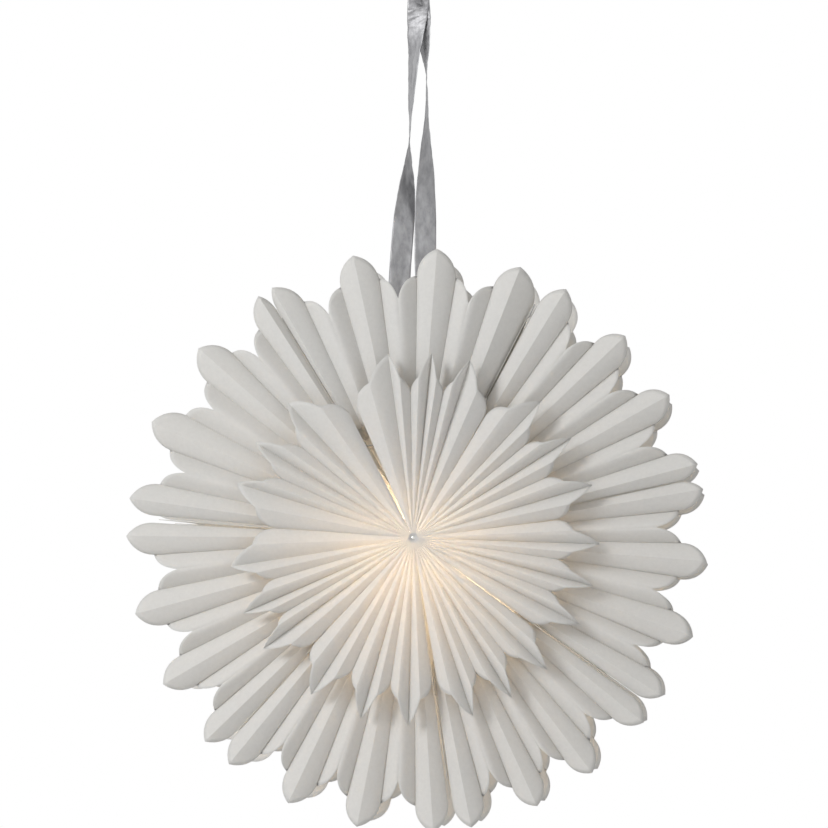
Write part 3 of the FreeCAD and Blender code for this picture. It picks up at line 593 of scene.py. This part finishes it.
def pleatedSheet(name, fan, creases, bulges, toBack):
    facets = len(creases) - 1
    shape = bmesh.new()
    bmesh.ops.create_grid(shape, x_segments=facets * fan["across"], y_segments=fan["along"], size=1.0)
    onCrease = {}
    for v in shape.verts:
        place = (v.co.x + 1) / 2 * facets
        onCrease[v] = abs(place - round(place)) < 1e-4
        k = min(int(place + 1e-6), facets - 1)
        t, w = place - k, (v.co.y + 1) / 2
        left, rightCrease = creases[k], creases[k + 1]
        a0, a1 = creasePoint(left, fan, fan["inner"]), creasePoint(left, fan, left[1])
        b0, b1 = creasePoint(rightCrease, fan, fan["inner"]), creasePoint(rightCrease, fan, rightCrease[1])
        chord = b1 - a1
        normal = (a1 - a0).cross(b1 - a0).normalized()
        outward = normal.cross(chord).normalized()
        if outward.dot(a1 + b1) < 0:
            outward = -outward
        if normal.y > 0:
            normal = -normal
        hollow = 4 * t * (1 - t)
        edge = a1.lerp(b1, t) + outward * bulges[k] * chord.length * hollow
        spot = a0.lerp(b0, t).lerp(edge, w)
        spot += normal * fan["bow"] * hollow * chord.length * w
        if toBack:
            spot.y = -spot.y
        v.co = starCentre + spot * mm
    for e in shape.edges:
        if onCrease[e.verts[0]] and onCrease[e.verts[1]]:
            e.smooth = False
    if not toBack:
        bmesh.ops.reverse_faces(shape, faces=shape.faces)
    mesh = bpy.data.meshes.new(name)
    shape.to_mesh(mesh)
    shape.free()
    mesh.materials.append(starPaper)
    mesh.shade_smooth()
    piece = newObject(name, mesh, "star")
    thick = piece.modifiers.new("thickness", "SOLIDIFY")
    thick.thickness = sheet["thickness"] * mm
    thick.offset = -1
    return piece


for k in range(len(largeFan["seams"])):
    for fan, size in ((largeFan, "large"), (smallFan, "small")):
        creases, bulges = fanCreases(fan, k)
        for side in ("front", "back"):
            folded = list(creases)
            if fan is largeFan and k == 0 and side == "front":
                angle, reach, slope = folded[-1]
                folded[-1] = (angle, reach, slope * sheet["closingFold"])
            name = "%s%sSheet%d" % (side, size.capitalize(), k + 1)
            piece = pleatedSheet(name, fan, folded, bulges, side == "back")
            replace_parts(piece, "%s_%s_section_%d" % (side, size, k + 1))
print("pleated paper done")


# a round part about the lamp's upright axis, from (radius, height) in millimetres
def turnedPiece(name, node, profile, material, body, steps=72):
    shape = bmesh.new()
    verts = [shape.verts.new((r * mm, 0, z * mm)) for r, z in profile]
    edges = [shape.edges.new(pair) for pair in zip(verts, verts[1:])]
    bmesh.ops.spin(shape, geom=verts + edges, cent=(0, 0, 0), axis=(0, 0, 1), angle=2 * math.pi,
                   steps=steps, use_merge=True)
    bmesh.ops.remove_doubles(shape, verts=shape.verts, dist=1e-6)
    bmesh.ops.recalc_face_normals(shape, faces=shape.faces)
    bmesh.ops.translate(shape, vec=starCentre + Vector((lampAxisX, 0, 0)) * mm, verts=shape.verts)
    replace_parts(newObject(name, finishMesh(shape, name, material, 35.0), body), node)


def arcProfile(radius, centreZ, fromAngle, toAngle, steps):
    turns = [math.radians(fromAngle + (toAngle - fromAngle) * i / steps) for i in range(steps + 1)]
    return [(radius * math.cos(a), centreZ + radius * math.sin(a)) for a in turns]


bulb = {
    "globeRadius": 22.5, "globeZ": 0.0, "rimZ": 9.0, "neckTop": 8.2, "capZ": 30.0,
    "neckHollow": (11.8, 21.5), "threadRoot": 6.3, "threadCrest": 6.85, "threadStart": 2.2,
    "pitch": 2.82, "turns": 6, "screwTop": 51.75, "screwTopRadius": 5.4,
    "tipRadius": 3.0, "tipLow": 54.15, "tipTop": 55.75, "tipTopRadius": 2.4,
}


def neckCurve(steps=14):
    rim = math.sqrt(bulb["globeRadius"] ** 2 - (bulb["rimZ"] - bulb["globeZ"]) ** 2)
    start, bend = Vector((rim, bulb["rimZ"])), Vector(bulb["neckHollow"])
    stop = Vector((bulb["neckTop"], bulb["capZ"]))
    shares = [i / steps for i in range(steps + 1)]
    return [tuple(start.lerp(bend, t).lerp(bend.lerp(stop, t), t)) for t in shares]


def threadProfile():
    points = []
    steps = 8  # to each turn of the thread
    for i in range(bulb["turns"] * steps + 1):
        z = bulb["capZ"] + bulb["threadStart"] + i * bulb["pitch"] / steps
        wave = 0.5 - 0.5 * math.cos(2 * math.pi * i / steps)
        points.append((bulb["threadRoot"] + (bulb["threadCrest"] - bulb["threadRoot"]) * wave, z))
    return points


rimAngle = math.degrees(math.asin((bulb["rimZ"] - bulb["globeZ"]) / bulb["globeRadius"]))
globeProfile = arcProfile(bulb["globeRadius"], bulb["globeZ"], -90, rimAngle, 28)
globeProfile[0] = (0.0, bulb["globeZ"] - bulb["globeRadius"])
turnedPiece("bulbGlobe", "bulb_globe", globeProfile + [(0.0, bulb["rimZ"])], litGlobe, "bulb")
neckProfile = [(0.0, bulb["rimZ"])] + neckCurve() + [(0.0, bulb["capZ"])]
turnedPiece("bulbNeck", "bulb_neck", neckProfile, whitePlastic, "bulb")
capProfile = [(0.0, bulb["capZ"]), (bulb["threadCrest"], bulb["capZ"])] + threadProfile()
capProfile += [
    (bulb["screwTopRadius"], bulb["screwTop"]),
    (bulb["tipRadius"], bulb["tipLow"]),
    (bulb["tipTopRadius"], bulb["tipTop"]),
    (0.0, bulb["tipTop"]),
]
turnedPiece("bulbScrewCap", "bulb_cap", capProfile, capMetal, "bulb")

holder = {
    "radius": 13.5, "wall": 1.6, "low": 28.0, "high": 58.0, "seat": 30.8, "lip": 10.2, "groove": 0.5,
    "groovePitch": 2.4, "ringLow": 34.0, "ringHigh": 42.0, "ringRadius": 19.0, "ringBore": 13.55, "ringWall": 1.6,
    "flange": 1.8, "grips": 24, "gripSize": 1.0,
}


def shellProfile():
    inner, outer = holder["radius"] - holder["wall"], holder["radius"]
    points = [(inner, holder["high"]), (outer - 0.3, holder["high"]), (outer, holder["high"] - 0.3)]
    z = holder["ringHigh"] + 1.2
    root = outer - holder["groove"]
    for _ in range(4):  # thread for the ring
        points += [(outer, z), (root, z - 0.7), (root, z - 1.3), (outer, z - 2.0)]
        z -= holder["groovePitch"]
    points += [(outer, holder["low"] + 0.6), (outer - 0.6, holder["low"])]
    points += [(holder["lip"], holder["low"]), (holder["lip"], holder["seat"])]
    return points + [(inner, holder["seat"]), (inner, holder["high"])]


turnedPiece("holderShell", "holder_shell", shellProfile(), whitePlastic, "lamp")
ringOuter = holder["ringBore"] + holder["ringWall"]
flangeLow = holder["ringHigh"] - holder["flange"]
rounding = 0.4  # of the flange's edges
ringProfile = [
    (holder["ringBore"], holder["ringLow"]),
    (ringOuter, holder["ringLow"]),
    (ringOuter, flangeLow),
    (holder["ringRadius"] - rounding, flangeLow),
    (holder["ringRadius"], flangeLow + rounding),
    (holder["ringRadius"], holder["ringHigh"] - rounding),
    (holder["ringRadius"] - rounding, holder["ringHigh"]),
    (holder["ringBore"], holder["ringHigh"]),
    (holder["ringBore"], holder["ringLow"]),
]
turnedPiece("shadeRing", "shade_ring", ringProfile, whitePlastic, "lamp")


def gripRibs():
    shape = bmesh.new()
    grip, length = holder["gripSize"] * mm, flangeLow - holder["ringLow"]
    size = Matrix.Diagonal((grip, grip, length * mm, 1))
    place = Matrix.Translation(Vector((ringOuter, 0, (holder["ringLow"] + flangeLow) / 2)) * mm)
    for i in range(holder["grips"]):
        spin = Matrix.Rotation(2 * math.pi * i / holder["grips"], 4, "Z")
        bmesh.ops.create_cube(shape, size=1.0, matrix=spin @ place @ size)
    bmesh.ops.translate(shape, vec=starCentre + Vector((lampAxisX, 0, 0)) * mm, verts=shape.verts)
    return newObject("ringGrips", finishMesh(shape, "ringGrips", whitePlastic), "lamp")


gripRibs()
print("lamp done")
